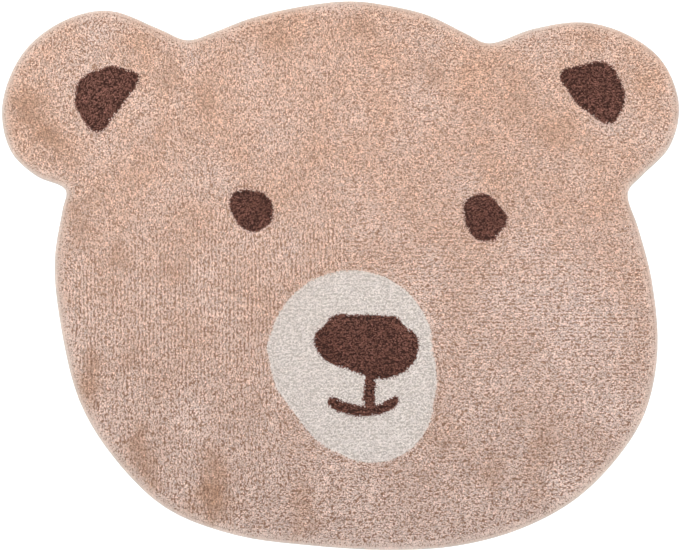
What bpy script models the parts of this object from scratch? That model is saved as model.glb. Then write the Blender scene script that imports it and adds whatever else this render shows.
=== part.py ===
"""A bear shaped kids rug, tufted in cotton yarn on a cotton backing cloth, lying flat.

The rug is 1.10 m wide over the ears and 0.89 m from crown to chin. It lies on Z = 0 with +Y
towards the crown, and the middle of its outline is the origin. Left and right are as seen from
above with the crown away from the viewer. Sizes are in millimetres and are made metres as the
meshes are built.

The edge is a smooth curve through named places. The muzzle, nose, eyes and inner ears are lines
drawn tight round a few circles, as a cord would lie round them.
"""

import math
from collections import namedtuple

import bmesh
import bpy
from mathutils import Vector

MM = 0.001  # metres
GAP = 0.3  # between pieces that touch on the real rug
FLATNESS = 0.2  # how far a straight bit may cut inside the round stretch that it follows

CLOTH_THICK = 2.0
PILE_TOP = 14.0
PILE_BOTTOM = CLOTH_THICK + GAP
CUTTER_SPARE = 5.0  # how far a cutter passes the pile above and below

Place = namedtuple("Place", "name x y")
Bend = namedtuple("Bend", "name x y radius")
Level = namedtuple("Level", "inset height")

# Places that the rug's edge runs through, anticlockwise from the crown. The two sides differ, as
# on the real rug.
HEAD = [
    Place("crown", 14, 445),
    Place("crown, left of the middle", -67, 436),
    Place("left brow", -148, 417),
    Place("left brow end", -205, 395),
    Place("notch over the left ear", -249, 382),
    Place("left ear begins", -292, 399),
    Place("left ear, top", -377, 430),
    Place("left ear, upper side", -454, 411),
    Place("left ear, shoulder", -516, 360),
    Place("left ear, outermost", -549, 275),
    Place("left ear, lower side", -535, 202),
    Place("left ear ends", -493, 161),
    Place("notch under the left ear", -446, 139),
    Place("left cheek begins", -451, 108),
    Place("left cheek", -464, 22),
    Place("left cheek, lower", -454, -80),
    Place("left jaw begins", -424, -202),
    Place("left jaw", -370, -292),
    Place("left jaw ends", -284, -376),
    Place("chin begins", -171, -420),
    Place("chin, left", -49, -437),
    Place("chin", 72, -444),
    Place("chin, right", 185, -438),
    Place("chin ends", 291, -410),
    Place("right jaw begins", 380, -362),
    Place("right jaw", 450, -292),
    Place("right jaw ends", 493, -221),
    Place("right cheek", 513, -121),
    Place("right cheek, upper", 503, -4),
    Place("right cheek ends", 481, 80),
    Place("notch under the right ear", 465, 135),
    Place("right ear begins", 488, 162),
    Place("right ear, lower side", 532, 208),
    Place("right ear, outermost", 548, 275),
    Place("right ear, shoulder", 521, 347),
    Place("right ear, upper side", 466, 390),
    Place("right ear, top", 393, 411),
    Place("right ear ends", 310, 400),
    Place("notch over the right ear", 239, 377),
    Place("right brow begins", 202, 393),
    Place("right brow", 142, 422),
    Place("crown, right of the middle", 77, 438),
]
SPAN_STEPS = 5  # straight bits of the edge from one place to the next

MUZZLE = [
    Bend("forehead side", 17, -124, 133),
    Bend("lower left", 18, -200, 87),
    Bend("chin side", 51, -205, 97),
    Bend("right side", 61, -169, 94),
]

NOSE = [
    Bend("left end", -1, -103, 41),
    Bend("underside", 64, -121, 45),
    Bend("right end", 77, -113, 48),
]
STEM_X = 47
STEM_WIDTH = 18
STEM_TOP = -140  # inside the nose
SMILE_X = 38
SMILE_Y = -130  # the point that the smile bends round
SMILE_RADIUS = 88.5
SMILE_HALF_ANGLE = math.radians(35)
SMILE_WIDTH = 15.5
SMILE_STEPS = 12
CAP_STEPS = 6  # straight bits of each round end

EYE_LEFT = [
    Bend("upper left", -145, 108, 33),
    Bend("lower right", -142, 104, 33),
]
EYE_RIGHT = [
    Bend("top", 231, 101, 31),
    Bend("bottom", 234, 90, 35),
]
EAR_LEFT = [
    Bend("top", -365, 301, 37),
    Bend("outer side", -385, 288, 45),
    Bend("lower tip", -394, 250, 18),
    Bend("inner tip", -339, 317, 13),
]
EAR_RIGHT = [
    Bend("top", 415, 310, 35),
    Bend("inner tip", 369, 320, 15),
    Bend("inner side", 404, 294, 28),
    Bend("lower tip", 430, 263, 18),
    Bend("outer side", 419, 288, 40),
]

# The backing's side, from the floor up over its rolled edge to the flat cloth.
CLOTH_SIDE = [
    Level(1.0, 0.0),
    Level(0.0, 1.2),
    Level(0.3, 3.2),
    Level(2.0, 4.5),
    Level(4.4, 4.5),
    Level(6.3, 3.6),
    Level(7.0, CLOTH_THICK),
]
# The side of the pile, whose outermost tufts lean out over the rolled edge.
PILE_SIDE = [
    Level(7.3, PILE_BOTTOM),
    Level(7.3, 4.4),
    Level(5.2, 6.2),
    Level(4.2, 8.6),
    Level(4.8, 11.0),
    Level(6.8, 13.1),
    Level(10.0, PILE_TOP),
]

COLOURS = {  # as the eye sees them, 0 to 255
    "natural cotton": (222, 211, 194),
    "beige yarn": (203, 172, 155),
    "off-white yarn": (219, 209, 202),
    "brown yarn": (98, 65, 56),
}


def tight_line(bends):
    """(point, outward direction) pairs along the line drawn tight round the circles."""
    leaving = []
    for first, second in zip(bends, bends[1:] + bends[:1]):
        across, up = second.x - first.x, second.y - first.y
        lean = math.acos((first.radius - second.radius) / math.hypot(across, up))
        leaving.append(math.atan2(up, across) - lean)
    line = []
    for bend, start, end in zip(bends, leaving[-1:] + leaving[:-1], leaving):
        sweep = (end - start) % math.tau
        step = 2 * math.acos(1 - FLATNESS / bend.radius)
        count = max(1, math.ceil(sweep / step))
        for i in range(count + 1):
            angle = start + sweep * i / count
            outward = Vector((math.cos(angle), math.sin(angle)))
            line.append((Vector((bend.x, bend.y)) + bend.radius * outward, outward))
    return line


def smooth_line(places):
    """(point, outward direction) pairs along a closed smooth curve through the places."""
    spots = [Vector((place.x, place.y)) for place in places]
    count = len(spots)
    points = []
    for i in range(count):
        before, start, end, after = (spots[(i + k) % count] for k in (-1, 0, 1, 2))
        past, span, next_span = (
            math.sqrt((q - p).length) for p, q in ((before, start), (start, end), (end, after))
        )
        leave = (start - before) / past - (end - before) / (past + span) + (end - start) / span
        arrive = (
            (end - start) / span - (after - start) / (span + next_span) + (after - end) / next_span
        )
        for k in range(SPAN_STEPS):
            t = k / SPAN_STEPS
            points.append(
                start * (2 * t**3 - 3 * t**2 + 1)
                + end * (3 * t**2 - 2 * t**3)
                + leave * span * (t**3 - 2 * t**2 + t)
                + arrive * span * (t**3 - t**2)
            )
    line = []
    for before, point, after in zip(points[-1:] + points[:-1], points, points[1:] + points[:1]):
        along = (after - before).normalized()
        line.append((point, Vector((along.y, -along.x))))
    return line


def smile_line():
    """The smile's edge, a band bent round a point, with round ends."""
    centre = Vector((SMILE_X, SMILE_Y))
    down = -math.pi / 2
    line = []
    for inner, turn_from in ((False, down - SMILE_HALF_ANGLE), (True, down + SMILE_HALF_ANGLE)):
        sweep = -2 * SMILE_HALF_ANGLE if inner else 2 * SMILE_HALF_ANGLE
        for i in range(SMILE_STEPS + 1):
            angle = turn_from + sweep * i / SMILE_STEPS
            away = Vector((math.cos(angle), math.sin(angle)))
            outward = -away if inner else away
            line.append((centre + SMILE_RADIUS * away + SMILE_WIDTH / 2 * outward, outward))
        tip = centre + SMILE_RADIUS * away
        for i in range(1, CAP_STEPS):
            facing = angle + math.pi * (i / CAP_STEPS + inner)
            outward = Vector((math.cos(facing), math.sin(facing)))
            line.append((tip + SMILE_WIDTH / 2 * outward, outward))
    return line


def stem_line():
    """The stem's edge, a strip from inside the nose to inside the smile."""
    bottom = SMILE_Y - SMILE_RADIUS
    line = []
    for side, end, y in ((1, 1, STEM_TOP), (-1, 1, STEM_TOP), (-1, -1, bottom), (1, -1, bottom)):
        corner = Vector((STEM_X + side * STEM_WIDTH / 2, y))
        line.append((corner, Vector((side, end))))
    return line


def middle_of(line):
    """The middle of a line's box."""
    xs = [point.x for point, outward in line]
    ys = [point.y for point, outward in line]
    return Vector((min(xs) + max(xs), min(ys) + max(ys))) / 2


HEAD_LINE = smooth_line(HEAD)
MIDDLE = middle_of(HEAD_LINE)


def ring(mesh, line, inset, height):
    """A closed row of vertices, set in from the line towards the inside."""
    row = []
    for point, outward in line:
        spot = point - inset * outward - MIDDLE
        row.append(mesh.verts.new((spot.x * MM, spot.y * MM, height * MM)))
    return row


def slab(name, line, levels, colour=None):
    """A closed piece with flat faces below and above, and a side through all levels."""
    mesh = bmesh.new()
    rings = [ring(mesh, line, level.inset, level.height) for level in levels]
    mesh.faces.new(reversed(rings[0]))
    mesh.faces.new(rings[-1])
    for low, high in zip(rings, rings[1:]):
        for i in range(len(low)):
            mesh.faces.new((low[i - 1], low[i], high[i], high[i - 1]))
    data = bpy.data.meshes.new(name)
    mesh.to_mesh(data)
    mesh.free()
    piece = bpy.data.objects.new(name, data)
    bpy.context.collection.objects.link(piece)
    if colour:
        data.materials.append(yarn(colour))
    return piece


def yarn(colour):
    """The material of one colour of yarn or cloth, made at its first use."""
    name = colour.replace(" ", "_")
    if name in bpy.data.materials:
        return bpy.data.materials[name]
    material = bpy.data.materials.new(name)
    material.use_nodes = True
    shader = material.node_tree.nodes["Principled BSDF"]
    linear = [((c / 255 + 0.055) / 1.055) ** 2.4 for c in COLOURS[colour]]
    shader.inputs["Base Color"].default_value = (*linear, 1)
    shader.inputs["Roughness"].default_value = 0.95
    shader.inputs["Metallic"].default_value = 0
    return material


def tool(name, line, grow, spare):
    """A hidden shape that a Boolean cuts with or adds."""
    levels = [Level(-grow, PILE_BOTTOM - spare), Level(-grow, PILE_TOP + spare)]
    shape = slab(name, line, levels)
    shape.hide_render = True
    shape.display_type = "WIRE"
    return shape


def combine(piece, shape, operation):
    """A live Boolean of a piece with a hidden shape."""
    boolean = piece.modifiers.new(shape.name, "BOOLEAN")
    boolean.operation = operation
    boolean.object = shape
    boolean.solver = "EXACT"


def let_in(piece, name, line):
    """Leaves room in a piece for the yarn field inside this line."""
    combine(piece, tool("room_for_" + name, line, GAP, CUTTER_SPARE), "DIFFERENCE")


def yarn_field(name, line, colour):
    """A field of pile with upright sides, held between its neighbours."""
    return slab(name, line, [Level(0, PILE_BOTTOM), Level(0, PILE_TOP)], colour)


def main():
    for old in list(bpy.data.objects):
        bpy.data.objects.remove(old)

    slab("backing", HEAD_LINE, CLOTH_SIDE, "natural cotton")
    field = slab("field_pile", HEAD_LINE, PILE_SIDE, "beige yarn")

    let_in(field, "muzzle", tight_line(MUZZLE))
    muzzle = yarn_field("muzzle_pile", tight_line(MUZZLE), "off-white yarn")

    nose = yarn_field("nose_mouth_pile", tight_line(NOSE), "brown yarn")
    for name, line in (("stem", stem_line()), ("smile", smile_line())):
        combine(nose, tool(name, line, 0, 0), "UNION")
    for name, line in (("nose", tight_line(NOSE)), ("stem", stem_line()), ("smile", smile_line())):
        let_in(muzzle, name, line)

    for name, bends in (
        ("eye_left", EYE_LEFT),
        ("eye_right", EYE_RIGHT),
        ("ear_left", EAR_LEFT),
        ("ear_right", EAR_RIGHT),
    ):
        line = tight_line(bends)
        yarn_field(name + "_pile", line, "brown yarn")
        let_in(field, name, line)


main()
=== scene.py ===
import math
from collections import namedtuple

import bmesh
import bpy
import numpy as np
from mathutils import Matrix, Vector, kdtree, noise


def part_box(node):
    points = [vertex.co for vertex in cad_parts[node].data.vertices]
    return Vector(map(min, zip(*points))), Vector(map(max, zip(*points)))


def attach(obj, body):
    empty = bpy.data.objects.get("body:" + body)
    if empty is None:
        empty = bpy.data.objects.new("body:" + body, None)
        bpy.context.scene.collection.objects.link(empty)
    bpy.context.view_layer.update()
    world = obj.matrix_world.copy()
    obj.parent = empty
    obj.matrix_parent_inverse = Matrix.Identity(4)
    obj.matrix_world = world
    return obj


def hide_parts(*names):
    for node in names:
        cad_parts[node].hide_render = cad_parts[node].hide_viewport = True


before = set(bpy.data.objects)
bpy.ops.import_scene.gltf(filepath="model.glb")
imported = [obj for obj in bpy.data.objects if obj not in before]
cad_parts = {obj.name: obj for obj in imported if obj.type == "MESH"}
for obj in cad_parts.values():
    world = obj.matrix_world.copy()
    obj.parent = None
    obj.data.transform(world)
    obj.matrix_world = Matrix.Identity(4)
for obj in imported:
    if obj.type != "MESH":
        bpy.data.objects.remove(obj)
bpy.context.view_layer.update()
bpy.ops.object.select_all(action="DESELECT")
bpy.context.scene.view_settings.view_transform = "Standard"


# Backing cloth
# Cotton canvas cut to the bear's outline. The yarn is tufted through it, and its edge is turned
# and rolled up round the pile, where it shows as a thin, pale, slightly gathered rim.
def linear(red, green, blue):
    """A colour as the eye sees it, 0 to 255, as the shader takes it."""
    return (*(((c / 255 + 0.055) / 1.055) ** 2.4 for c in (red, green, blue)), 1)


MERGE = 0.00001  # points closer than this are one


def copy_of(node, name):
    """A new piece with a CAD node's shape, its loose triangles merged."""
    piece = bpy.data.objects.new(name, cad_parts[node].data.copy())
    piece.data.name = name
    piece.data.materials.clear()
    bpy.context.collection.objects.link(piece)
    bpy.ops.object.select_all(action="DESELECT")
    bpy.context.view_layer.objects.active = piece
    piece.select_set(True)
    bpy.ops.object.mode_set(mode="EDIT")
    bpy.ops.mesh.select_all(action="SELECT")
    bpy.ops.mesh.remove_doubles(threshold=MERGE)
    bpy.ops.mesh.tris_convert_to_quads()
    bpy.ops.object.mode_set(mode="OBJECT")
    return piece


def apply_modifiers(piece):
    """Makes a piece's modifiers part of its mesh."""
    bpy.context.view_layer.objects.active = piece
    for modifier in list(piece.modifiers):
        bpy.ops.object.modifier_apply(modifier=modifier.name)


def put_socket(tree, kind, direction, name, value=None):
    """Adds a named socket to a node group."""
    socket = tree.interface.new_socket(name=name, in_out=direction, socket_type=kind)
    if value is not None:
        socket.default_value = value


def place_node(tree, kind, inputs=(), **settings):
    """Adds a node, sets it up, and links or fills its inputs, given as (socket, source or value)."""
    node = tree.nodes.new(kind)
    for name, value in settings.items():
        setattr(node, name, value)
    for socket, source in inputs:
        if isinstance(source, bpy.types.NodeSocket):
            tree.links.new(source, node.inputs[socket])
        else:
            node.inputs[socket].default_value = source
    return node


def new_material(name):
    """A material with a Principled BSDF, and that shader."""
    material = bpy.data.materials.new(name)
    material.use_nodes = True
    return material, material.node_tree.nodes["Principled BSDF"]


CANVAS_THREADS = 640  # threads in a metre of cloth
GATHER = 0.006  # the length of one gather of the rolled edge

canvas, canvas_shader = new_material("natural_canvas")
tree = canvas.node_tree
where = place_node(tree, "ShaderNodeTexCoord").outputs["Object"]
waves = [
    place_node(
        tree,
        "ShaderNodeTexWave",
        [("Vector", where), ("Scale", CANVAS_THREADS * math.tau / 20), ("Distortion", 0.8)],
        bands_direction=direction,
    )
    for direction in ("X", "Y")
]
weave = place_node(
    tree,
    "ShaderNodeMath",
    [(0, waves[0].outputs["Fac"]), (1, waves[1].outputs["Fac"])],
    operation="MAXIMUM",
)
stain = place_node(tree, "ShaderNodeTexNoise", [("Vector", where), ("Scale", 26.0), ("Detail", 4.0)])
# The cloth's colours and its thread colour are a little darker than bare cotton: partly the cloth's own
# tone, partly painted shade for the thin grey shadow line along the rolled edge.
cloth_colour = place_node(
    tree,
    "ShaderNodeMix",
    [("Factor", stain.outputs["Fac"]), ("A", linear(220, 211, 204)), ("B", linear(200, 190, 182))],
    data_type="RGBA",
)
thread_colour = place_node(
    tree,
    "ShaderNodeMix",
    [
        ("Factor", weave.outputs["Value"]),
        ("A", linear(184, 175, 167)),
        ("B", cloth_colour.outputs["Result"]),
    ],
    data_type="RGBA",
)
relief = place_node(
    tree,
    "ShaderNodeBump",
    [("Height", weave.outputs["Value"]), ("Strength", 0.5), ("Distance", 0.0006)],
)
tree.links.new(thread_colour.outputs["Result"], canvas_shader.inputs["Base Color"])
tree.links.new(relief.outputs["Normal"], canvas_shader.inputs["Normal"])
canvas_shader.inputs["Roughness"].default_value = 0.92
canvas_shader.inputs["Sheen Weight"].default_value = 0.2


def edit(piece, faces=(), edges=()):
    """Enters edit mode with only these faces, or only these edges, of a piece selected."""
    mesh = piece.data
    bpy.context.view_layer.objects.active = piece
    bpy.context.tool_settings.mesh_select_mode = (False, bool(edges), bool(faces))
    for items in (mesh.vertices, mesh.edges, mesh.polygons):
        items.foreach_set("select", [False] * len(items))
    for item in (*faces, *edges):
        item.select = True
    bpy.ops.object.mode_set(mode="EDIT")


CLOTH_THICK = 0.002
LEVEL = 0.99  # the least upward share of a level face's normal
SLACK = 0.0005  # past the cloth's top, within which a level face still belongs to the cloth
GATHER_HEIGHT = 0.0005
GATHER_START = 0.001  # above the cloth, where the gathers are at their full height
backing = copy_of("backing", "backing_cloth")
flat_sides = [
    face
    for face in backing.data.polygons
    if abs(face.normal.z) > LEVEL and face.center.z < CLOTH_THICK + SLACK
]
edit(backing, faces=flat_sides)
bpy.ops.mesh.delete(type="ONLY_FACE")
bpy.ops.object.mode_set(mode="OBJECT")
place_of = [vertex.co.copy() for vertex in backing.data.vertices]
along_edge = [
    edge
    for edge in backing.data.edges
    if abs(place_of[edge.vertices[0]].z - place_of[edge.vertices[1]].z) < MERGE
]
edit(backing, edges=along_edge)
bpy.ops.mesh.subdivide(number_cuts=2)
bpy.ops.object.mode_set(mode="OBJECT")
backing.modifiers.new("round_edge", "SUBSURF").levels = 1
backing.modifiers["round_edge"].render_levels = 1
apply_modifiers(backing)
for vertex in backing.data.vertices:
    share = max(0, min(1, (vertex.co.z - CLOTH_THICK) / GATHER_START))
    vertex.co.z += GATHER_HEIGHT * noise.noise(vertex.co / GATHER) * share
bpy.context.tool_settings.mesh_select_mode = (True, False, False)
bpy.ops.object.mode_set(mode="EDIT")
bpy.ops.mesh.select_all(action="DESELECT")
bpy.ops.mesh.select_non_manifold()
bpy.ops.mesh.fill_holes(sides=0)
bpy.ops.mesh.select_all(action="SELECT")
bpy.ops.mesh.normals_make_consistent(inside=False)
bpy.ops.object.mode_set(mode="OBJECT")
backing.data.shade_smooth()
backing.data.materials.append(canvas)
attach(backing, "root")
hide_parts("backing")


# Beige field
# Cotton yarn tufted through the backing in straight rows and cut, so each stitch ends in a few
# loose yarn ends. The rows run up the left side and across the right, as the tufter worked.
ROW_GAP = 0.0059
ROW_WIDTH = 0.0023
STITCH = 0.0050  # from one tuft to the next in a row
BED_TOP = 0.0100  # the dense foot of the pile, which the loose yarn ends rise out of
PILE_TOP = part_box("field_pile")[1].z
FIELD_CLEAR = 0.0046  # from a field's line to its first straight row
EDGE_ROW_INSET = 0.0024
EDGE_STITCH = 0.0042
YARN = 0.00108  # the radius of one yarn end at its cut
ROOT_DEPTH = 0.0018  # of a loose end's root, below the top of the foot
END = np.dtype(
    [
        ("root", float, 3),
        ("way", float),  # which way it leans, as an angle on the floor
        ("lean", float),  # from upright
        ("length", float),
        ("radius", float),
        ("tone", float),
        ("rim", float),
        ("patch", float),
    ]
)
Patch = namedtuple("Patch", "name x y across along shade")
PATCHES = [  # browner where the shade is above zero, paler and greyer below it
    Patch("left ear", -0.420, 0.285, 0.080, 0.080, -0.3),
    Patch("right ear", 0.440, 0.285, 0.080, 0.080, -0.35),
    Patch("left ear, outer side", -0.502, 0.271, 0.024, 0.026, 1.0),
    Patch("left ear, lower side", -0.462, 0.227, 0.020, 0.020, 1.15),
    Patch("left ear, root", -0.444, 0.182, 0.018, 0.018, 0.4),
    Patch("left ear, crest", -0.381, 0.397, 0.040, 0.018, -0.6),
    Patch("left ear, inner side", -0.308, 0.252, 0.016, 0.034, -0.6),
    Patch("left ear, beside the head", -0.276, 0.324, 0.024, 0.024, 0.5),
    Patch("left temple", -0.219, 0.284, 0.018, 0.022, 0.5),
    Patch("left temple, lower", -0.292, 0.235, 0.018, 0.020, 0.4),
    Patch("between ear and brow", -0.244, 0.349, 0.018, 0.018, -0.5),
    Patch("left inner ear", -0.383, 0.293, 0.024, 0.030, -0.6),
    Patch("crown", 0.019, 0.405, 0.024, 0.014, 0.6),
    Patch("crown, left", -0.106, 0.381, 0.018, 0.018, 0.5),
    Patch("crown, right", 0.145, 0.324, 0.026, 0.022, 0.4),
    Patch("left notch", -0.434, 0.106, 0.020, 0.020, 0.5),
    Patch("left cheek", -0.354, 0.028, 0.014, 0.016, 0.6),
    Patch("left cheek, inner", -0.268, 0.009, 0.018, 0.016, 0.6),
    Patch("left cheek, outer", -0.413, 0.074, 0.016, 0.018, 0.4),
    Patch("left cheek, lower", -0.341, -0.120, 0.020, 0.030, 0.3),
    Patch("left cheek, low inner", -0.244, -0.218, 0.020, 0.024, -0.5),
    Patch("left edge", -0.402, -0.161, 0.018, 0.040, 0.8),
    Patch("left jaw", -0.324, -0.274, 0.016, 0.034, 0.8),
    Patch("left jaw, low", -0.308, -0.323, 0.014, 0.020, 0.5),
    Patch("under the left cheek", -0.203, -0.319, 0.022, 0.042, 0.8),
    Patch("under the left cheek, low", -0.200, -0.372, 0.036, 0.024, 0.7),
    Patch("chin", -0.061, -0.376, 0.020, 0.042, 0.6),
    Patch("right jaw, inner", 0.161, -0.250, 0.036, 0.036, 0.4),
    Patch("right jaw, low", 0.242, -0.315, 0.022, 0.022, 0.5),
    Patch("right jaw", 0.323, -0.307, 0.018, 0.052, 0.5),
    Patch("right jaw, outer", 0.355, -0.331, 0.024, 0.024, -0.5),
    Patch("right cheek", 0.379, -0.072, 0.080, 0.070, -0.9),
    Patch("right cheek, lower", 0.420, -0.201, 0.052, 0.044, -0.7),
    Patch("right cheek, inner", 0.258, -0.023, 0.030, 0.028, -0.5),
    Patch("right cheek, upper", 0.330, 0.040, 0.060, 0.030, -0.5),
    Patch("right cheek, rim", 0.476, -0.088, 0.020, 0.026, 0.4),
    Patch("right cheek, under the eye", 0.347, 0.049, 0.012, 0.014, 0.5),
    Patch("right ear, inner side", 0.290, 0.285, 0.022, 0.042, 0.35),
    Patch("right ear, low", 0.350, 0.236, 0.026, 0.020, 0.5),
    Patch("right ear, crest", 0.404, 0.381, 0.016, 0.016, 0.5),
    Patch("right ear, outer side", 0.493, 0.308, 0.016, 0.018, 0.5),
]
rng = np.random.default_rng(7)


def lines_at(node, height):
    """The closed lines round a node at one height, each with its yarn on the left."""
    mesh = bmesh.new()
    mesh.from_mesh(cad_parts[node].data)
    bmesh.ops.remove_doubles(mesh, verts=mesh.verts, dist=MERGE)

    def level(item):
        return all(abs(vertex.co.z - height) < MERGE for vertex in item.verts)

    after = {}
    for face in mesh.faces:
        if level(face):
            for loop in face.loops:
                if not all(level(other) for other in loop.edge.link_faces):
                    after[loop.vert.index] = loop.link_loop_next.vert.index
    mesh.verts.ensure_lookup_table()
    lines = []
    while after:
        index = next(iter(after))
        line = []
        while index in after:
            line.append(mesh.verts[index].co.xy[:])
            index = after.pop(index)
        lines.append(np.array(line))
    mesh.free()
    return lines


def spans(lines):
    """Every straight bit of the lines, as its two ends."""
    for line in lines:
        yield from zip(line, np.roll(line, -1, axis=0))


def inside(spots, lines):
    """Whether each spot lies in a field, so that a way out to the right crosses an odd number of lines."""
    odd = np.zeros(len(spots), bool)
    x, y = spots.T
    for (x1, y1), (x2, y2) in spans(lines):
        if y1 != y2:
            crossing = x1 + (x2 - x1) * (y - y1) / (y2 - y1)
            odd ^= ((y1 > y) != (y2 > y)) & (x < crossing)
    return odd


def distance(spots, lines):
    """How far each spot lies from the nearest line."""
    nearest = np.full(len(spots), np.inf)
    for start, end in spans(lines):
        along = end - start
        share = np.clip((spots - start) @ along / (along @ along), 0, 1)
        gap = np.hypot(*(spots - start - share[:, None] * along).T)
        nearest = np.minimum(nearest, gap)
    return nearest


def wander(spots, size, seed):
    """Smooth unevenness over the rug, from about -1 to 1, of a given size."""
    values = [noise.noise(Vector((x / size, y / size, seed))) for x, y in spots]
    return 1.6 * np.array(values)  # noise alone stays within about 0.6


def strayed(spots, far, size, seeds):
    """The spots moved smoothly by up to about this far, across and along."""
    return spots + far * np.column_stack([wander(spots, size, seed) for seed in seeds])


Tug = namedtuple("Tug", "name x y right up")
TUGS = [  # places where the tufter's hand left a field's outline out of true
    Tug("left eye, upper left", -0.168, 0.129, -0.0060, 0.0020),
    Tug("left eye, top", -0.138, 0.139, 0.0000, -0.0035),
    Tug("left eye, lower left", -0.171, 0.087, 0.0035, 0.0000),
    Tug("right eye, upper left", 0.206, 0.118, -0.0070, 0.0020),
    Tug("right eye, upper right", 0.258, 0.118, -0.0055, -0.0020),
    Tug("right eye, lower right", 0.258, 0.072, -0.0060, 0.0010),
    Tug("right eye, lower left", 0.206, 0.072, 0.0035, 0.0000),
    Tug("nose, upper left", -0.032, -0.073, 0.0045, -0.0048),
    Tug("nose, upper right", 0.112, -0.075, -0.0058, -0.0062),
    Tug("stem, foot", 0.047, -0.204, -0.0024, 0.0000),
    Tug("smile, left end", -0.015, -0.212, -0.0008, -0.0024),
    Tug("smile, right end", 0.100, -0.206, -0.0048, -0.0006),
    Tug("muzzle, right", 0.156, -0.120, -0.0045, 0.0000),
    Tug("muzzle, left", -0.116, -0.112, -0.0040, 0.0000),
]
TUG_REACH = 0.016
WOBBLE = 0.0014  # of rows and outlines


def tugs_at(spots):
    """How far the tugs move each spot."""
    moved = np.zeros((len(spots), 2))
    for tug in TUGS:
        away = np.hypot(spots[:, 0] - tug.x, spots[:, 1] - tug.y) / TUG_REACH
        moved += np.exp(-(away**2))[:, None] * (tug.right, tug.up)
    return moved


def tugged(spots):
    """The spots as the tufter's hand leaves them: rows and outlines wobble by a millimetre or two."""
    return strayed(spots, WOBBLE, size=0.015, seeds=(2.2, 6.6)) + tugs_at(spots)


PATCH_STRENGTH = 0.8
PATCH_EDGE = 1.6  # how far out a patch reaches, in shares of its size
PATCH_RAGGED = 0.012
LOOSE_PATCHES = 0.08  # the strength of the small patches everywhere


def browner(spots):
    """How far each spot is browner than its field, or paler where it is below zero, from -1 to 1."""
    ragged = strayed(spots, PATCH_RAGGED, size=0.022, seeds=(3.3, 8.8))
    share = LOOSE_PATCHES * wander(spots, size=0.022, seed=9.4)
    for patch in PATCHES:
        away = np.hypot(
            (ragged[:, 0] - patch.x) / patch.across, (ragged[:, 1] - patch.y) / patch.along
        )
        share += PATCH_STRENGTH * patch.shade * np.clip(PATCH_EDGE - away, 0, 1)
    return np.clip(share, -1, 1)


ROW_SWAY = 0.0008  # how far a row strays from straight over a few tufts
ROW_RIPPLE = 0.0005  # and from tuft to tuft


def row_spots(lines, angle, clear):
    """Tufts in straight rows over a field, kept clear of its lines."""
    corners = np.vstack(lines)
    low, high = corners.min(axis=0), corners.max(axis=0)
    middle = (low + high) / 2
    reach = np.hypot(*(high - low)) / 2
    rows = np.arange(-reach, reach, ROW_GAP)
    stitches = np.arange(-reach, reach, STITCH)
    across, along = (grid.ravel() for grid in np.meshgrid(rows, stitches, indexing="ij"))
    along = along + STITCH * rng.random(len(along))
    grid = np.column_stack([across, along])
    across = across + ROW_SWAY * wander(grid, size=0.018, seed=1.1)
    across = across + ROW_RIPPLE * wander(grid, size=0.007, seed=1.7)
    c, s = math.cos(angle), math.sin(angle)
    spots = middle + np.column_stack([c * along - s * across, s * along + c * across])
    spots = spots[np.all((spots > low) & (spots < high), axis=1)]
    spots = spots[inside(spots, lines)]
    return spots[distance(spots, lines) > clear]


TUFT_ENDS = 8  # loose yarn ends to a tuft of a straight row
END_LENGTH = 0.0062
END_LENGTH_SPREAD = 0.0004
END_LEAN = 0.68
END_LEAN_SPREAD = 0.2
LEAST_LEAN = 0.05
MOST_LEAN = 1.05
END_THICKNESS = (0.85, 1.12)  # of the thinnest and the thickest end, in shares of YARN
ALONG_SPREAD = 0.0004
ACROSS_SPREAD = 0.0002
LOST_SPREAD = 0.0011  # more of it, where the rows don't show
MIDDLE_TONE = 0.5
BRIGHT_TONE = 0.03
STREAK_TONE = 0.06
STREAK_PATCH = 0.16
TUFT_TONE_SPREAD = 0.06
END_TONE_SPREAD = 0.31
STREAK_STRETCH = 2.5  # how much longer than wide a streak along the rows is


def field_ends(spots, angle, order):
    """The loose yarn ends of tufts in rows, which show where order is 1 and are lost where it is 0."""
    count = len(spots)
    turn = wander(spots, size=0.016, seed=5.5)
    lift = wander(spots, size=0.009, seed=2.7)
    bright = wander(spots, size=0.014, seed=6.2)
    c, s = math.cos(angle), math.sin(angle)
    in_rows = spots @ np.array([[c / STREAK_STRETCH, -s], [s / STREAK_STRETCH, c]])
    streak = wander(in_rows, size=0.006, seed=5.8)
    patch = browner(spots)
    tuft_tone = MIDDLE_TONE + BRIGHT_TONE * bright + STREAK_TONE * streak
    tuft_tone = tuft_tone + rng.normal(0, TUFT_TONE_SPREAD, count)
    ends = np.zeros((count, TUFT_ENDS), END)
    for k in range(TUFT_ENDS):
        along = STITCH * ((k + 0.5) / TUFT_ENDS - 0.5) + rng.normal(0, ALONG_SPREAD, count)
        across = ROW_WIDTH * (3 * k % TUFT_ENDS / (TUFT_ENDS - 1) - 0.5)
        across = across + rng.normal(0, ACROSS_SPREAD + LOST_SPREAD * (1 - order), count)
        end = ends[:, k]
        end["root"][:, 0] = spots[:, 0] + c * along - s * across
        end["root"][:, 1] = spots[:, 1] + s * along + c * across
        end["root"][:, :2] = tugged(end["root"][:, :2])
        end["root"][:, 2] = BED_TOP - ROOT_DEPTH + 0.0002 * lift
        end["way"] = angle + (1.4 - 1.2 * order) * turn + rng.normal(0, 0.5 - 0.2 * order, count)
        end["way"] += np.where(rng.random(count) < 0.5, math.pi, 0)
        lean = rng.normal(END_LEAN - 0.06 * order, END_LEAN_SPREAD, count)
        end["lean"] = np.clip(lean, LEAST_LEAN, MOST_LEAN)
        end["length"] = END_LENGTH + rng.normal(0, END_LENGTH_SPREAD, count)
        end["radius"] = YARN * rng.uniform(*END_THICKNESS, count)
        end["tone"] = tuft_tone + rng.normal(0, END_TONE_SPREAD, count)
        end["patch"] = patch + STREAK_PATCH * streak
    return ends.ravel()


STEP_SPREAD = 0.2  # how far a tuft along a line strays from its even place, in steps


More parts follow.
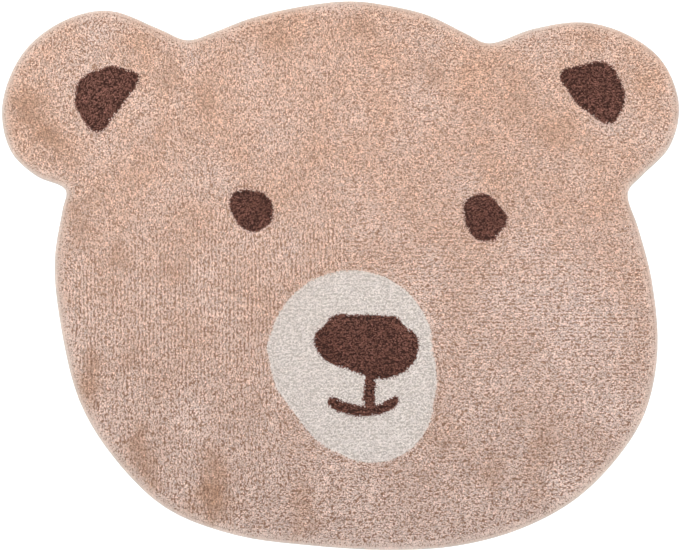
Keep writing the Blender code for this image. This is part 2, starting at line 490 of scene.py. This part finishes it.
def even_spots(line, step, inset):
    """Spots at even steps along a closed line, set in from it, and the way the line runs there."""
    closed = np.vstack([line, line[:1]])
    bits = np.diff(closed, axis=0)
    far = np.concatenate([[0], np.cumsum(np.hypot(*bits.T))])
    count = int(far[-1] / step)
    marks = np.linspace(0, far[-1], count, endpoint=False)
    marks = (marks + rng.uniform(-STEP_SPREAD, STEP_SPREAD, count) * step) % far[-1]
    spots = np.column_stack([np.interp(marks, far, closed[:, i]) for i in (0, 1)])
    ahead = (marks + step) % far[-1]
    behind = (marks - step) % far[-1]
    run = np.column_stack(
        [np.interp(ahead, far, closed[:, i]) - np.interp(behind, far, closed[:, i]) for i in (0, 1)]
    )
    run /= np.hypot(*run.T)[:, None]
    left = np.column_stack([-run[:, 1], run[:, 0]])
    return spots + inset * left, np.arctan2(run[:, 1], run[:, 0])


LINE_LENGTH = 0.0058
LINE_LENGTH_SPREAD = 0.0005
LINE_LEAN = 0.5
LINE_MOST_LEAN = 0.9
LINE_THICKNESS = (0.85, 1.1)
LINE_ACROSS_SPREAD = 0.0010
LINE_WAY_SPREAD = 0.5
LINE_BRIGHT_TONE = 0.08
LINE_TONE_SPREAD = 0.13


def line_ends(line, crossing, wobble=True, inset=EDGE_ROW_INSET, ends_a_tuft=6):
    """The yarn ends of the row that follows a field's line. A share of them lean out across it."""
    spots, run = even_spots(line, EDGE_STITCH, inset)
    count = len(spots)
    bright = wander(spots, size=0.014, seed=6.2)
    ends = np.zeros((count, ends_a_tuft), END)
    for k in range(ends_a_tuft):
        end = ends[:, k]
        along = EDGE_STITCH * ((k + 0.5) / ends_a_tuft - 0.5)
        across = rng.normal(0, LINE_ACROSS_SPREAD, count)
        end["root"][:, 0] = spots[:, 0] + along * np.cos(run) - across * np.sin(run)
        end["root"][:, 1] = spots[:, 1] + along * np.sin(run) + across * np.cos(run)
        if wobble:
            end["root"][:, :2] = tugged(end["root"][:, :2])
        end["root"][:, 2] = BED_TOP - ROOT_DEPTH
        end["way"] = run + np.where(rng.random(count) < 0.5, math.pi, 0)
        end["way"] += rng.normal(0, LINE_WAY_SPREAD, count)
        out = rng.random(count) < crossing
        end["way"][out] = run[out] - math.pi / 2 + rng.normal(0, LINE_WAY_SPREAD, out.sum())
        lean = rng.normal(LINE_LEAN, END_LEAN_SPREAD, count)
        end["lean"] = np.clip(lean, LEAST_LEAN, LINE_MOST_LEAN)
        end["length"] = LINE_LENGTH + rng.normal(0, LINE_LENGTH_SPREAD, count)
        end["radius"] = YARN * rng.uniform(*LINE_THICKNESS, count)
        end["tone"] = MIDDLE_TONE + LINE_BRIGHT_TONE * bright
        end["tone"] += rng.normal(0, LINE_TONE_SPREAD, count)
        end["patch"] = browner(spots)
    return ends.ravel()


def yarn_end():
    """One cut yarn end, modelled once: three sides, drawn in to its root, and a flat cut."""
    bpy.ops.object.select_all(action="DESELECT")
    bpy.ops.mesh.primitive_cone_add(
        vertices=3, radius1=0, radius2=1, depth=1, end_fill_type="NGON", location=(0, 0, 0.5)
    )
    shape = bpy.context.object
    bpy.ops.object.transform_apply(location=True, rotation=True, scale=True)
    places = np.array([vertex.co[:] for vertex in shape.data.vertices])
    faces = [list(face.vertices) for face in shape.data.polygons]
    bpy.data.objects.remove(shape)
    return places, faces


end_places, end_faces = yarn_end()
cut_face = [all(end_places[index][2] > 0.5 for index in face) for face in end_faces]


CUT_ON_MAP = [(0.20, 0.68), (0.80, 0.68), (0.50, 0.96)]
SIDE_ON_MAP = [(0.15, 0.05), (0.29, 0.58), (0.00, 0.58)]  # its root first
SIDE_STEP = 0.31


def end_on_map():
    """The corners of one yarn end's faces on its square of the map, its sides in a row below its cut."""
    corners = []
    left = 0.05
    for face, cut in zip(end_faces, cut_face):
        if cut:
            corners += CUT_ON_MAP
            continue
        side = [(left + x, y) for x, y in SIDE_ON_MAP]
        root = [end_places[index][2] < 0.5 for index in face].index(True)
        corners += [side[(k - root) % 3] for k in range(3)]
        left += SIDE_STEP
    return np.array(corners)


def pile_piece(name, ends, material):
    """All the yarn ends of one piece, joined in one mesh. Each has a square of its own on the map."""
    count = len(ends)
    c, s = np.cos(ends["way"]), np.sin(ends["way"])
    upright, flat = np.cos(ends["lean"]), np.sin(ends["lean"])
    stem = np.column_stack([flat * c, flat * s, upright])
    side = np.column_stack([-s, c, np.zeros(count)])
    front = np.column_stack([upright * c, upright * s, -flat])
    roll = rng.uniform(0, math.tau / 3, count)
    cx = np.cos(roll)[:, None] * end_places[:, 0] - np.sin(roll)[:, None] * end_places[:, 1]
    cy = np.sin(roll)[:, None] * end_places[:, 0] + np.cos(roll)[:, None] * end_places[:, 1]
    places = (
        ends["root"][:, None]
        + (ends["radius"][:, None] * cx)[:, :, None] * front[:, None]
        + (ends["radius"][:, None] * cy)[:, :, None] * side[:, None]
        + (ends["length"][:, None] * end_places[:, 2])[:, :, None] * stem[:, None]
    )
    corner_index = np.array([index for face in end_faces for index in face])
    sizes = np.array([len(face) for face in end_faces])
    starts = np.concatenate([[0], np.cumsum(sizes)[:-1]])
    corners, faces = len(corner_index), len(end_faces)
    of_end = np.arange(count)[:, None]
    mesh = bpy.data.meshes.new(name)
    mesh.vertices.add(count * len(end_places))
    mesh.vertices.foreach_set("co", places.ravel())
    mesh.loops.add(count * corners)
    mesh.loops.foreach_set("vertex_index", (corner_index + of_end * len(end_places)).ravel())
    mesh.polygons.add(count * faces)
    mesh.polygons.foreach_set("loop_start", (starts + of_end * corners).ravel())
    mesh.polygons.foreach_set("use_smooth", np.tile(np.logical_not(cut_face), count))
    mesh.update(calc_edges=True)
    for word in ("tone", "rim", "patch"):
        values = np.repeat(ends[word], len(end_places))
        mesh.attributes.new(word, "FLOAT", "POINT").data.foreach_set("value", values)
    height = np.tile(end_places[:, 2], count)
    mesh.attributes.new("height", "FLOAT", "POINT").data.foreach_set("value", height)
    squares = math.ceil(math.sqrt(count))
    cell = np.column_stack([np.arange(count) % squares, np.arange(count) // squares])
    on_map = (cell[:, None] + end_on_map()) / squares
    mesh.uv_layers.new(name="OFBake").data.foreach_set("uv", on_map.ravel())
    mesh.validate()
    piece = bpy.data.objects.new(name, mesh)
    bpy.context.collection.objects.link(piece)
    mesh.materials.append(material)
    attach(piece, "root")
    return piece


def yarn_group():
    """The shader group of all cut yarn: lit tips, dark roots, and colour that wanders over the rug."""
    group = bpy.data.node_groups.new("cut_yarn", "ShaderNodeTree")
    for name, value in (
        ("Crown Colour", (0.8, 0.55, 0.45, 1)),
        ("Chin Colour", (0.7, 0.5, 0.4, 1)),
        ("Pale Colour", (0.8, 0.7, 0.6, 1)),
        ("Patch Colour", (0.6, 0.4, 0.25, 1)),
        ("Rim Colour", (0.8, 0.75, 0.7, 1)),
    ):
        put_socket(group, "NodeSocketColor", "INPUT", name, value)
    for name, value in (("Root Shade", 0.3), ("Tone Spread", 0.5), ("Tip Shade", 1.05)):
        put_socket(group, "NodeSocketFloat", "INPUT", name, value)
    put_socket(group, "NodeSocketColor", "OUTPUT", "Colour")
    put_socket(group, "NodeSocketFloat", "OUTPUT", "Fibre")
    given = group.nodes.new("NodeGroupInput").outputs
    where = place_node(group, "ShaderNodeTexCoord").outputs["Object"]
    spot = place_node(group, "ShaderNodeSeparateXYZ", [("Vector", where)])
    tone, height, patch, rim = (
        place_node(group, "ShaderNodeAttribute", attribute_name=word).outputs["Fac"]
        for word in ("tone", "height", "patch", "rim")
    )
    downwards = place_node(
        group,
        "ShaderNodeMapRange",
        [("Value", spot.outputs["Y"]), ("From Min", 0.30), ("From Max", -0.42)],
    )
    by_place = place_node(
        group,
        "ShaderNodeMix",
        [
            ("Factor", downwards.outputs["Result"]),
            ("A", given["Crown Colour"]),
            ("B", given["Chin Colour"]),
        ],
        data_type="RGBA",
    )
    cloud = place_node(
        group, "ShaderNodeTexNoise", [("Vector", where), ("Scale", 11.0), ("Detail", 3.0)]
    )
    cloud_share = place_node(
        group,
        "ShaderNodeMapRange",
        [("Value", cloud.outputs["Fac"]), ("From Min", 0.35), ("From Max", 0.65), ("To Max", 0.55)],
    )
    clouded = place_node(
        group,
        "ShaderNodeMix",
        [
            ("Factor", cloud_share.outputs["Result"]),
            ("A", by_place.outputs["Result"]),
            ("B", given["Pale Colour"]),
        ],
        data_type="RGBA",
    )
    paler = place_node(group, "ShaderNodeMath", [(0, patch), (1, -1.0)], operation="MULTIPLY")
    lightened = place_node(
        group,
        "ShaderNodeMix",
        [
            ("Factor", paler.outputs["Value"]),
            ("A", clouded.outputs["Result"]),
            ("B", given["Pale Colour"]),
        ],
        data_type="RGBA",
    )
    patched = place_node(
        group,
        "ShaderNodeMix",
        [("Factor", patch), ("A", lightened.outputs["Result"]), ("B", given["Patch Colour"])],
        data_type="RGBA",
    )
    # Towards the rug's edge the yarn turns to the Rim Colour, as far as its rim share says: partly a paler
    # edge, partly painted light on the yarn that leans out.
    rimmed = place_node(
        group,
        "ShaderNodeMix",
        [("Factor", rim), ("A", patched.outputs["Result"]), ("B", given["Rim Colour"])],
        data_type="RGBA",
    )
    centred = place_node(
        group, "ShaderNodeMath", [(0, tone), (1, 0.5)], operation="SUBTRACT"
    )
    toned = place_node(
        group,
        "ShaderNodeMath",
        [(0, centred.outputs["Value"]), (1, given["Tone Spread"]), (2, 1.0)],
        operation="MULTIPLY_ADD",
    )
    depth = place_node(
        group,
        "ShaderNodeMapRange",
        [
            ("Value", height),
            ("From Min", 0.2),
            ("From Max", 0.75),
            ("To Min", given["Root Shade"]),
            ("To Max", given["Tip Shade"]),
        ],
    )
    fibre = place_node(
        group, "ShaderNodeTexNoise", [("Vector", where), ("Scale", 520.0), ("Detail", 2.0)]
    )
    fibre_shade = place_node(
        group,
        "ShaderNodeMapRange",
        [
            ("Value", fibre.outputs["Fac"]),
            ("From Min", 0.25),
            ("From Max", 0.75),
            ("To Min", 0.84),
            ("To Max", 1.12),
        ],
    )
    # Painted light: at the rim the painted root shade is partly lifted.
    rim_lifted_shade = place_node(group, "ShaderNodeMath", [(0, rim), (1, 0.6)], operation="MULTIPLY")
    root_shade_or_lit_rim = place_node(
        group,
        "ShaderNodeMix",
        [("Factor", rim_lifted_shade.outputs["Value"]), ("A", depth.outputs["Result"]), ("B", 1.0)],
        data_type="FLOAT",
    )
    shade = place_node(
        group,
        "ShaderNodeMath",
        [(0, toned.outputs["Value"]), (1, root_shade_or_lit_rim.outputs["Result"])],
        operation="MULTIPLY",
    )
    shade = place_node(
        group,
        "ShaderNodeMath",
        [(0, shade.outputs["Value"]), (1, fibre_shade.outputs["Result"])],
        operation="MULTIPLY",
    )
    coloured = place_node(
        group,
        "ShaderNodeVectorMath",
        [(0, rimmed.outputs["Result"]), ("Scale", shade.outputs["Value"])],
        operation="SCALE",
    )
    place_node(
        group,
        "NodeGroupOutput",
        [("Colour", coloured.outputs["Vector"]), ("Fibre", fibre.outputs["Fac"])],
    )
    return group


cut_yarn = yarn_group()


def yarn_material(name, sheen, **values):
    """One dye of cut cotton yarn."""
    material, shader = new_material(name)
    tree = material.node_tree
    group = place_node(tree, "ShaderNodeGroup", node_tree=cut_yarn)
    for socket, value in values.items():
        group.inputs[socket.replace("_", " ").title()].default_value = value
    fluff = place_node(
        tree,
        "ShaderNodeBump",
        [("Height", group.outputs["Fibre"]), ("Strength", 0.35), ("Distance", 0.0004)],
    )
    tree.links.new(group.outputs["Colour"], shader.inputs["Base Color"])
    tree.links.new(fluff.outputs["Normal"], shader.inputs["Normal"])
    shader.inputs["Roughness"].default_value = 0.95
    shader.inputs["Specular IOR Level"].default_value = 0.1
    shader.inputs["Sheen Weight"].default_value = sheen
    shader.inputs["Sheen Roughness"].default_value = 0.6
    return material


SIDE_FROM = 0.0003  # below the foot's top, where its side's colour starts
SIDE_TO = 0.0025  # and where it is whole


def foot_group():
    """The shader group of the pile's dense foot: speckled like yarn with its Dark Colour, a painted shade
    of the deep gaps, more painted shade towards the chin, lighter down its side.
    """
    group = bpy.data.node_groups.new("pile_foot", "ShaderNodeTree")
    for name in ("Colour", "Dark Colour", "Side Colour"):
        put_socket(group, "NodeSocketColor", "INPUT", name, (0.5, 0.5, 0.5, 1))
    put_socket(group, "NodeSocketColor", "OUTPUT", "Colour")
    put_socket(group, "NodeSocketFloat", "OUTPUT", "Strands")
    given = group.nodes.new("NodeGroupInput").outputs
    where = place_node(group, "ShaderNodeTexCoord").outputs["Object"]
    # The speckle reads as yarn grain; its dark part is painted shade of the gaps between the tufts.
    speckle = place_node(
        group, "ShaderNodeTexNoise", [("Vector", where), ("Scale", 480.0), ("Detail", 3.0)]
    )
    strands = place_node(
        group,
        "ShaderNodeMapRange",
        [("Value", speckle.outputs["Fac"]), ("From Min", 0.36), ("From Max", 0.64)],
    )
    spot = place_node(group, "ShaderNodeSeparateXYZ", [("Vector", where)])
    # Painted shade: towards the chin more of the foot takes its Dark Colour, as the gaps there lie deeper
    # in shade under the light from the crown's side.
    downwards = place_node(
        group,
        "ShaderNodeMapRange",
        [("Value", spot.outputs["Y"]), ("From Min", 0.10), ("From Max", -0.42), ("To Max", 0.36)],
    )
    share = place_node(
        group,
        "ShaderNodeMath",
        [(0, strands.outputs["Result"]), (1, downwards.outputs["Result"])],
        operation="SUBTRACT",
        use_clamp=True,
    )
    shade = place_node(
        group,
        "ShaderNodeMix",
        [("Factor", share.outputs["Value"]), ("A", given["Dark Colour"]), ("B", given["Colour"])],
        data_type="RGBA",
    )
    down_side = place_node(
        group,
        "ShaderNodeMapRange",
        [
            ("Value", spot.outputs["Z"]),
            ("From Min", BED_TOP - SIDE_FROM),
            ("From Max", BED_TOP - SIDE_TO),
        ],
    )
    sided = place_node(
        group,
        "ShaderNodeMix",
        [
            ("Factor", down_side.outputs["Result"]),
            ("A", shade.outputs["Result"]),
            ("B", given["Side Colour"]),
        ],
        data_type="RGBA",
    )
    place_node(
        group,
        "NodeGroupOutput",
        [("Colour", sided.outputs["Result"]), ("Strands", speckle.outputs["Fac"])],
    )
    return group


pile_foot = foot_group()


def bed_material(name, **colours):
    """The dense foot of the pile in one dye, seen only deep between the yarn ends."""
    material, shader = new_material(name)
    tree = material.node_tree
    group = place_node(tree, "ShaderNodeGroup", node_tree=pile_foot)
    for socket, colour in colours.items():
        group.inputs[socket.replace("_", " ").title()].default_value = colour
    relief = place_node(
        tree,
        "ShaderNodeBump",
        [("Height", group.outputs["Strands"]), ("Strength", 1.0), ("Distance", 0.0015)],
    )
    tree.links.new(group.outputs["Colour"], shader.inputs["Base Color"])
    tree.links.new(relief.outputs["Normal"], shader.inputs["Normal"])
    shader.inputs["Roughness"].default_value = 1
    return material


def bed_piece(node, name, material):
    """The dense foot of one field: the node's own shape, lower than the yarn ends."""
    bed = copy_of(node, name)
    floor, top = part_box(node)[0].z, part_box(node)[1].z
    tugs = tugs_at(np.array([vertex.co.xy[:] for vertex in bed.data.vertices]))
    for vertex, tug in zip(bed.data.vertices, tugs):
        vertex.co.x += tug[0]
        vertex.co.y += tug[1]
        vertex.co.z = floor + (vertex.co.z - floor) * (BED_TOP - floor) / (top - floor)
    bed.data.materials.append(material)
    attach(bed, "root")
    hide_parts(node)
    return bed


BEIGE = {
    "crown_colour": linear(233, 198, 176),
    "chin_colour": linear(219, 197, 187),
    "pale_colour": linear(239, 219, 210),
    "patch_colour": linear(198, 159, 133),
    "rim_colour": linear(235, 219, 208),
}
beige_yarn = yarn_material("beige_yarn", 0.06, root_shade=0.74, tone_spread=0.60, **BEIGE)
# The foot's dark colour is painted shade of the deep gaps between the yarn ends.
beige_bed = bed_material(
    "beige_pile_foot",
    colour=linear(211, 175, 152),
    dark_colour=linear(139, 106, 87),
    side_colour=linear(216, 194, 180),
)
pile_pieces = [bed_piece("field_pile", "beige_pile_foot", beige_bed)]

Area = namedtuple("Area", "name x y angle order")
UP, ACROSS = math.pi / 2, 0.0
AREAS = [
    Area("left_ear", -0.42, 0.30, UP, 0.2),
    Area("right_ear", 0.43, 0.30, ACROSS, 0.3),
    Area("left_brow", -0.14, 0.31, UP, 0.3),
    Area("right_brow", 0.15, 0.31, ACROSS, 0.3),
    Area("left_temple", -0.37, 0.15, UP, 0.3),
    Area("left_cheek", -0.28, -0.04, UP, 0.85),
    Area("right_temple", 0.42, 0.14, ACROSS, 0.3),
    Area("right_cheek", 0.33, -0.03, ACROSS, 0.65),
    Area("left_jaw", -0.27, -0.27, UP, 0.6),
    Area("right_jaw", 0.31, -0.27, ACROSS, 0.45),
    Area("chin", 0.02, -0.38, ACROSS, 0.35),
]
AREA_RAGGED = 0.03
field_lines = lines_at("field_pile", PILE_TOP)


def nearest_area(spots):
    """The index of the area that each spot is tufted with."""
    ragged = strayed(spots, AREA_RAGGED, size=0.06, seeds=(4.1, 7.3))
    away = [np.hypot(ragged[:, 0] - area.x, ragged[:, 1] - area.y) for area in AREAS]
    return np.argmin(away, axis=0)


OuterRow = namedtuple("OuterRow", "inset step root lean length rim")
OUTER_ROWS = [
    OuterRow(0.0052, 0.0010, 0.0030, 1.10, 0.0040, 1.00),
    OuterRow(0.0060, 0.0011, 0.0038, 0.95, 0.0043, 1.00),
    OuterRow(0.0068, 0.0011, 0.0050, 0.85, 0.0046, 1.00),
    OuterRow(0.0080, 0.0011, 0.0060, 0.75, 0.0054, 0.95),
    OuterRow(0.0092, 0.0012, 0.0072, 0.60, 0.0060, 0.80),
    OuterRow(0.0112, 0.0012, 0.0082, 0.40, 0.0062, 0.55),
]
# How pale and how dark the edge's yarn is painted where it faces right, then every 45 degrees further
# left: the paleness partly a paler edge and partly painted light, the darkness painted shade
PALE_AND_LIT_SIDES = (0.35, 0.20, 0.45, 0.75, 0.80, 0.80, 0.40, 0.90)
PAINTED_SHADE_BY_SIDE = (0.07, 0.24, 0.16, 0.13, 0.06, 0.00, 0.02, 0.00)
OUTER_TONE = 0.43
OUTER_TONE_SPREAD = 0.1
OUTER_WAY_SPREAD = 0.4
OUTER_LEAN_SPREAD = 0.12
OUTER_LENGTH_SPREAD = 0.08  # as a share of the length
OUTER_THICKNESS = (0.75, 1.0)
TOP_LINE_INSET = 0.010  # of the pile's flat top from the rug's edge
GAP_ROW_INSET = 0.0053
GAP = 0.0026  # the least distance from a straight tuft at which a gap shows


def outer_ends(line):
    """The rows of yarn ends along the rug's edge, which lean out over the rolled cloth."""
    rows = []
    for row in OUTER_ROWS:
        spots, run = even_spots(line, row.step, row.inset - TOP_LINE_INSET)
        count = len(spots)
        uneven = wander(spots, size=0.02, seed=12.5)
        ends = np.zeros(count, END)
        ends["root"][:, :2] = spots
        ends["root"][:, 2] = row.root
        ends["way"] = run - math.pi / 2 + rng.normal(0, OUTER_WAY_SPREAD, count) + 0.3 * uneven
        ends["lean"] = row.lean + rng.normal(0, OUTER_LEAN_SPREAD, count)
        longer = OUTER_LENGTH_SPREAD * uneven + rng.normal(0, OUTER_LENGTH_SPREAD, count)
        ends["length"] = row.length * (1 + longer)
        ends["radius"] = YARN * rng.uniform(*OUTER_THICKNESS, count)
        ends["tone"] = OUTER_TONE + OUTER_TONE_SPREAD * uneven
        ends["tone"] += rng.normal(0, OUTER_TONE_SPREAD, count)
        facing = (run - math.pi / 2) % math.tau / (math.tau / 8)
        # Painted shade by the way the edge faces, strongest on the outermost rows; then the rim share, a
        # paler edge and painted light by the way it faces.
        ends["tone"] -= row.rim**2 * np.interp(facing, range(9), PAINTED_SHADE_BY_SIDE + PAINTED_SHADE_BY_SIDE[:1])
        ends["rim"] = row.rim * np.interp(facing, range(9), PALE_AND_LIT_SIDES + PALE_AND_LIT_SIDES[:1])
        ends["patch"] = browner(spots)
        rows.append(ends)
    return np.concatenate(rows)


def in_gaps(ends, tufts):
    """The yarn ends that stand clear of all the straight tufts, where the outermost row leaves a gap."""
    nearest = kdtree.KDTree(len(tufts))
    for index, (x, y) in enumerate(tufts):
        nearest.insert((x, y, 0), index)
    nearest.balance()
    away = np.array([nearest.find((x, y, 0))[2] for x, y, z in ends["root"]])
    return ends[away > GAP]


rows = {angle: row_spots(field_lines, angle, FIELD_CLEAR) for angle in (UP, ACROSS)}
row_area = {angle: nearest_area(spots) for angle, spots in rows.items()}
area_spots = [rows[area.angle][row_area[area.angle] == index] for index, area in enumerate(AREAS)]
outline = max(field_lines, key=lambda line: np.ptp(line[:, 0]))
last_row = line_ends(outline, 0.3, wobble=False, ends_a_tuft=7)
last_row["rim"] = 0.3
gap_row = in_gaps(line_ends(outline, 0.2, inset=GAP_ROW_INSET), np.concatenate(area_spots))
edge_ends = np.concatenate(
    [outer_ends(outline), last_row, gap_row]
    + [line_ends(line, 0.2) for line in field_lines if line is not outline]
)
edge_area = nearest_area(edge_ends["root"][:, :2])
for index, (area, spots) in enumerate(zip(AREAS, area_spots)):
    ends = np.concatenate(
        [field_ends(spots, area.angle, area.order), edge_ends[edge_area == index]]
    )
    tufts = pile_piece(f"beige_tufts_{area.name}", ends, beige_yarn)
    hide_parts("field_pile")
    pile_pieces.append(tufts)


# Muzzle
# The same cotton yarn undyed, tufted through the same backing in its own oval field. Its rows run
# finely across from side to side, and it is cut to the same height as the beige round it.
Dye = namedtuple("Dye", "yarn foot slot crossing inset")


def colour_field(node, name, dye, angle, order):
    """One field of another colour: its foot and its yarn ends."""
    lines = lines_at(node, PILE_TOP)
    spots = row_spots(lines, angle, FIELD_CLEAR)
    ends = np.concatenate(
        [field_ends(spots, angle, order)]
        + [line_ends(line, dye.crossing, inset=dye.inset) for line in lines]
    )
    tufts = pile_piece(f"{name}_tufts", ends, dye.yarn)
    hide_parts(node)
    return [bed_piece(node, f"{name}_pile_foot", dye.foot), tufts]


OFF_WHITE = {
    "crown_colour": linear(236, 226, 219),
    "chin_colour": linear(234, 226, 222),
    "pale_colour": linear(239, 232, 227),
    "patch_colour": linear(226, 214, 204),
}
off_white = Dye(
    yarn=yarn_material("off_white_yarn", 0.06, root_shade=0.86, tone_spread=0.24, **OFF_WHITE),
    # The foot's dark colour is painted shade of the deep gaps between the yarn ends.
    foot=bed_material(
        "off_white_pile_foot",
        colour=linear(216, 207, 200),
        dark_colour=linear(190, 181, 174),
        side_colour=linear(216, 207, 200),
    ),
    slot="off_white_yarn",
    crossing=0.1,
    inset=EDGE_ROW_INSET,
)
pile_pieces += colour_field("muzzle_pile", "muzzle", off_white, ACROSS, 0.6)


# Nose and mouth
# Dark brown yarn let into the muzzle and tufted through the same backing: a flat oval nose, a
# short stem and a smile a few rows wide. Its last rows stand right at its outline, which they hide.
BROWN = {
    "crown_colour": linear(113, 74, 64),
    "chin_colour": linear(113, 74, 64),
    "pale_colour": linear(144, 100, 88),
    "patch_colour": linear(140, 94, 76),
}
brown = Dye(
    yarn=yarn_material("brown_yarn", 0.02, root_shade=0.6, tone_spread=1.25, **BROWN),
    # The foot's dark colour is painted shade of the deep gaps between the yarn ends.
    foot=bed_material(
        "brown_pile_foot",
        colour=linear(76, 46, 37),
        dark_colour=linear(54, 31, 24),
        side_colour=linear(76, 46, 37),
    ),
    slot="brown_yarn",
    crossing=0.4,
    inset=0.0015,
)
pile_pieces += colour_field("nose_mouth_pile", "nose_mouth", brown, ACROSS, 0.6)


# Eyes and inner ears
# Four small fields of the same brown yarn, let into the beige one. Their rows run across, but
# for the left ear's, which follow its slanting lower side.
SLANT = math.radians(50)
for place, angle in (
    ("eye_left", ACROSS),
    ("eye_right", ACROSS),
    ("ear_left", SLANT),
    ("ear_right", ACROSS),
):
    pile_pieces += colour_field(f"{place}_pile", place, brown, angle, 0.45)


# Floor, light and camera
# The rug lies on a plain white floor under a broad soft light from the crown's side, as in a
# studio, and the camera looks straight down on it.
bpy.ops.object.select_all(action="DESELECT")
FLOOR_BELOW = 0.0004  # the rug's underside, so that the two don't flicker
bpy.ops.mesh.primitive_plane_add(size=14, location=(0, 0, -FLOOR_BELOW))
floor = bpy.context.object
floor.name = "floor"
floor_paint, floor_shader = new_material("white_floor")
floor_shader.inputs["Base Color"].default_value = (0.92, 0.92, 0.92, 1)
floor_shader.inputs["Roughness"].default_value = 0.9
floor_shader.inputs["Emission Color"].default_value = (1, 1, 1, 1)
floor_shader.inputs["Emission Strength"].default_value = 0.35
floor.data.materials.append(floor_paint)

world = bpy.data.worlds.new("studio")
world.use_nodes = True
world.node_tree.nodes["Background"].inputs["Color"].default_value = (1, 1, 1, 1)
world.node_tree.nodes["Background"].inputs["Strength"].default_value = 0.92
bpy.context.scene.world = world

bpy.ops.object.light_add(type="AREA", location=(-0.15, 0.7, 2.9))
light = bpy.context.object
light.name = "key"
light.data.size = 2.6
light.data.energy = 51
light.rotation_euler = light.location.to_track_quat("Z", "Y").to_euler()

PHOTO_WIDTH = 680  # pixels
MM_A_PIXEL = 1.618
VIEW_WIDTH = PHOTO_WIDTH * MM_A_PIXEL / 1000
LENS, SENSOR = 100, 36
EDGE_HEIGHT = 0.004  # of the rug's widest line, which fills the view
HALF_PIXEL = MM_A_PIXEL / 2000  # the rug's middle lies half a pixel right of and below the photo's
bpy.ops.object.camera_add(
    location=(-HALF_PIXEL, HALF_PIXEL, EDGE_HEIGHT + VIEW_WIDTH * LENS / SENSOR), rotation=(0, 0, 0)
)
camera = bpy.context.object
camera.data.lens = LENS
camera.data.sensor_width = SENSOR
bpy.context.scene.camera = camera
